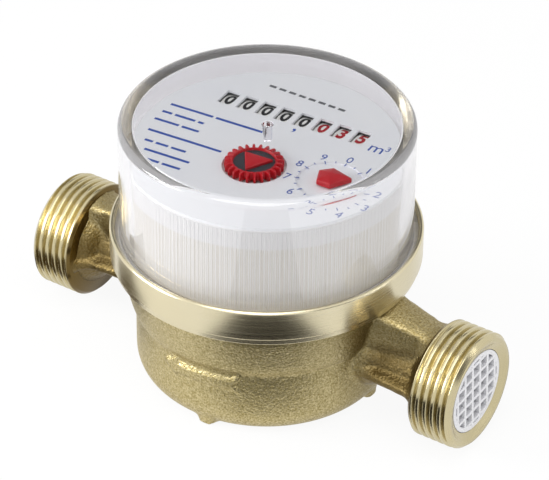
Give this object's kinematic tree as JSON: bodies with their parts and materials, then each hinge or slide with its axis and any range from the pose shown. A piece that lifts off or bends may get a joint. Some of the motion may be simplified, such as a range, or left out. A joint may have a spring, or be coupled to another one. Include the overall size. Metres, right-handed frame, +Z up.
{
  "type": "water meter",
  "caption": "Single-jet dry-dial water meter: forged brass body with threaded ends, brass head ring, clear cover, drum counter, star wheel and litre pointer.",
  "frame": {"origin": "on the base plane, under the middle of the pot", "axes": "+X along the pipe from outlet to inlet, +Y away from the reader, +Z up through the dial"},
  "size_m": [0.11, 0.0682, 0.0632],
  "materials": {
    "forged_brass": "forged and shot-blasted",
    "turned_brass": "fine turned",
    "white_plastic": "moulded, satin",
    "clear_plastic": "moulded, clear and glossy",
    "red_plastic": "moulded, glossy",
    "steel": "ground",
    "ferrite": "sintered, matt",
    "rubber": "moulded, matt"
  },
  "bodies": {
    "housing": {"body": "forged_brass", "head_ring": "turned_brass", "pressure_plate": "white_plastic", "plate_seal": "rubber", "inlet_strainer": "white_plastic", "lower_pivot_bush": "steel"},
    "impeller": {"impeller": "white_plastic", "impeller_shaft": "steel", "impeller_magnet": "ferrite"},
    "register": {"register_cup": "white_plastic", "train_plate": "white_plastic", "train_plate_screws": "steel", "drum_frame": "white_plastic", "drum_shaft": "steel", "pinion_shaft": "steel", "dial_plate": "white_plastic", "clear_cover": "clear_plastic", "shield_ring": "steel"},
    "follower": {"follower_rotor": "white_plastic", "follower_magnet": "ferrite"},
    "star": {"star_arbor": "white_plastic", "star_wheel": "red_plastic"},
    "second": {"second_arbor": "white_plastic"},
    "pointer": {"pointer_arbor": "white_plastic", "litre_pointer": "red_plastic"},
    "idler": {"idler_wheel": "white_plastic"},
    "worm": {"worm_arbor": "white_plastic"},
    "drum_1": {"drum_1": "white_plastic"},
    "drum_2": {"drum_2": "white_plastic"},
    "drum_3": {"drum_3": "white_plastic"},
    "drum_4": {"drum_4": "white_plastic"},
    "drum_5": {"drum_5": "white_plastic"},
    "drum_6": {"drum_6": "white_plastic"},
    "drum_7": {"drum_7": "white_plastic"},
    "drum_8": {"drum_8": "white_plastic"},
    "pinion_1": {"pinion_1": "white_plastic"},
    "pinion_2": {"pinion_2": "white_plastic"},
    "pinion_3": {"pinion_3": "white_plastic"},
    "pinion_4": {"pinion_4": "white_plastic"},
    "pinion_5": {"pinion_5": "white_plastic"},
    "pinion_6": {"pinion_6": "white_plastic"},
    "pinion_7": {"pinion_7": "white_plastic"}
  },
  "joints": [
    {"name": "impeller_spin", "type": "hinge", "parent": "housing", "child": "impeller", "pos_m": [0, 0, 0.012], "axis": [0, 0, 1], "continuous": true},
    {"name": "register_turn", "type": "hinge", "parent": "housing", "child": "register", "pos_m": [0, 0, 0.0359], "axis": [0, 0, 1], "continuous": true},
    {"name": "follower_spin", "type": "hinge", "parent": "register", "child": "follower", "pos_m": [0, 0, 0.0439], "axis": [0, 0, 1], "continuous": true},
    {"name": "star_spin", "type": "hinge", "parent": "register", "child": "star", "pos_m": [0.00234, -0.00843, 0.0439], "axis": [0, 0, 1], "continuous": true},
    {"name": "second_spin", "type": "hinge", "parent": "register", "child": "second", "pos_m": [0.01105, -0.0097, 0.0439], "axis": [0, 0, 1], "continuous": true},
    {"name": "pointer_spin", "type": "hinge", "parent": "register", "child": "pointer", "pos_m": [0.01875, -0.00438, 0.0439], "axis": [0, 0, 1], "continuous": true},
    {"name": "idler_spin", "type": "hinge", "parent": "register", "child": "idler", "pos_m": [0.0159, 0.00223, 0.0439], "axis": [0, 0, 1], "continuous": true},
    {"name": "worm_spin", "type": "hinge", "parent": "register", "child": "worm", "pos_m": [0.01991, 0.00821, 0.0439], "axis": [0, 0, 1], "continuous": true},
    {"name": "drum_1_turn", "type": "hinge", "parent": "register", "child": "drum_1", "pos_m": [-0.00104, 0.01185, 0.047], "axis": [0.9962, 0.0872, 0], "continuous": true},
    {"name": "drum_2_turn", "type": "hinge", "parent": "register", "child": "drum_2", "pos_m": [-0.00104, 0.01185, 0.047], "axis": [0.9962, 0.0872, 0], "continuous": true},
    {"name": "drum_3_turn", "type": "hinge", "parent": "register", "child": "drum_3", "pos_m": [-0.00104, 0.01185, 0.047], "axis": [0.9962, 0.0872, 0], "continuous": true},
    {"name": "drum_4_turn", "type": "hinge", "parent": "register", "child": "drum_4", "pos_m": [-0.00104, 0.01185, 0.047], "axis": [0.9962, 0.0872, 0], "continuous": true},
    {"name": "drum_5_turn", "type": "hinge", "parent": "register", "child": "drum_5", "pos_m": [-0.00104, 0.01185, 0.047], "axis": [0.9962, 0.0872, 0], "continuous": true},
    {"name": "drum_6_turn", "type": "hinge", "parent": "register", "child": "drum_6", "pos_m": [-0.00104, 0.01185, 0.047], "axis": [0.9962, 0.0872, 0], "continuous": true},
    {"name": "drum_7_turn", "type": "hinge", "parent": "register", "child": "drum_7", "pos_m": [-0.00104, 0.01185, 0.047], "axis": [0.9962, 0.0872, 0], "continuous": true},
    {"name": "drum_8_turn", "type": "hinge", "parent": "register", "child": "drum_8", "pos_m": [-0.00104, 0.01185, 0.047], "axis": [0.9962, 0.0872, 0], "continuous": true},
    {"name": "pinion_1_turn", "type": "hinge", "parent": "register", "child": "pinion_1", "pos_m": [-0.0015, 0.01714, 0.03996], "axis": [0.9962, 0.0872, 0], "continuous": true},
    {"name": "pinion_2_turn", "type": "hinge", "parent": "register", "child": "pinion_2", "pos_m": [-0.0015, 0.01714, 0.03996], "axis": [0.9962, 0.0872, 0], "continuous": true},
    {"name": "pinion_3_turn", "type": "hinge", "parent": "register", "child": "pinion_3", "pos_m": [-0.0015, 0.01714, 0.03996], "axis": [0.9962, 0.0872, 0], "continuous": true},
    {"name": "pinion_4_turn", "type": "hinge", "parent": "register", "child": "pinion_4", "pos_m": [-0.0015, 0.01714, 0.03996], "axis": [0.9962, 0.0872, 0], "continuous": true},
    {"name": "pinion_5_turn", "type": "hinge", "parent": "register", "child": "pinion_5", "pos_m": [-0.0015, 0.01714, 0.03996], "axis": [0.9962, 0.0872, 0], "continuous": true},
    {"name": "pinion_6_turn", "type": "hinge", "parent": "register", "child": "pinion_6", "pos_m": [-0.0015, 0.01714, 0.03996], "axis": [0.9962, 0.0872, 0], "continuous": true},
    {"name": "pinion_7_turn", "type": "hinge", "parent": "register", "child": "pinion_7", "pos_m": [-0.0015, 0.01714, 0.03996], "axis": [0.9962, 0.0872, 0], "continuous": true}
  ],
  "couplings": [
    {"joint": "follower_spin", "follows": "impeller_spin", "ratio": 1},
    {"joint": "star_spin", "follows": "impeller_spin", "ratio": -0.33333},
    {"joint": "second_spin", "follows": "impeller_spin", "ratio": 0.11111},
    {"joint": "pointer_spin", "follows": "impeller_spin", "ratio": -0.033333},
    {"joint": "idler_spin", "follows": "impeller_spin", "ratio": 0.041667},
    {"joint": "worm_spin", "follows": "impeller_spin", "ratio": -0.033333},
    {"joint": "drum_1_turn", "follows": "impeller_spin", "ratio": -0.0033333},
    {"joint": "drum_2_turn", "follows": "impeller_spin", "ratio": -0.00033333},
    {"joint": "drum_3_turn", "follows": "impeller_spin", "ratio": -0.000033333},
    {"joint": "drum_4_turn", "follows": "impeller_spin", "ratio": -0.0000033333},
    {"joint": "drum_5_turn", "follows": "impeller_spin", "ratio": -0.00000033333},
    {"joint": "drum_6_turn", "follows": "impeller_spin", "ratio": -0.000000033333},
    {"joint": "drum_7_turn", "follows": "impeller_spin", "ratio": -0.0000000033333},
    {"joint": "drum_8_turn", "follows": "impeller_spin", "ratio": -0.00000000033333},
    {"joint": "pinion_1_turn", "follows": "impeller_spin", "ratio": 0.00083333},
    {"joint": "pinion_2_turn", "follows": "impeller_spin", "ratio": 0.000083333},
    {"joint": "pinion_3_turn", "follows": "impeller_spin", "ratio": 0.0000083333},
    {"joint": "pinion_4_turn", "follows": "impeller_spin", "ratio": 0.00000083333},
    {"joint": "pinion_5_turn", "follows": "impeller_spin", "ratio": 0.000000083333},
    {"joint": "pinion_6_turn", "follows": "impeller_spin", "ratio": 0.0000000083333},
    {"joint": "pinion_7_turn", "follows": "impeller_spin", "ratio": 0.00000000083333}
  ]
}
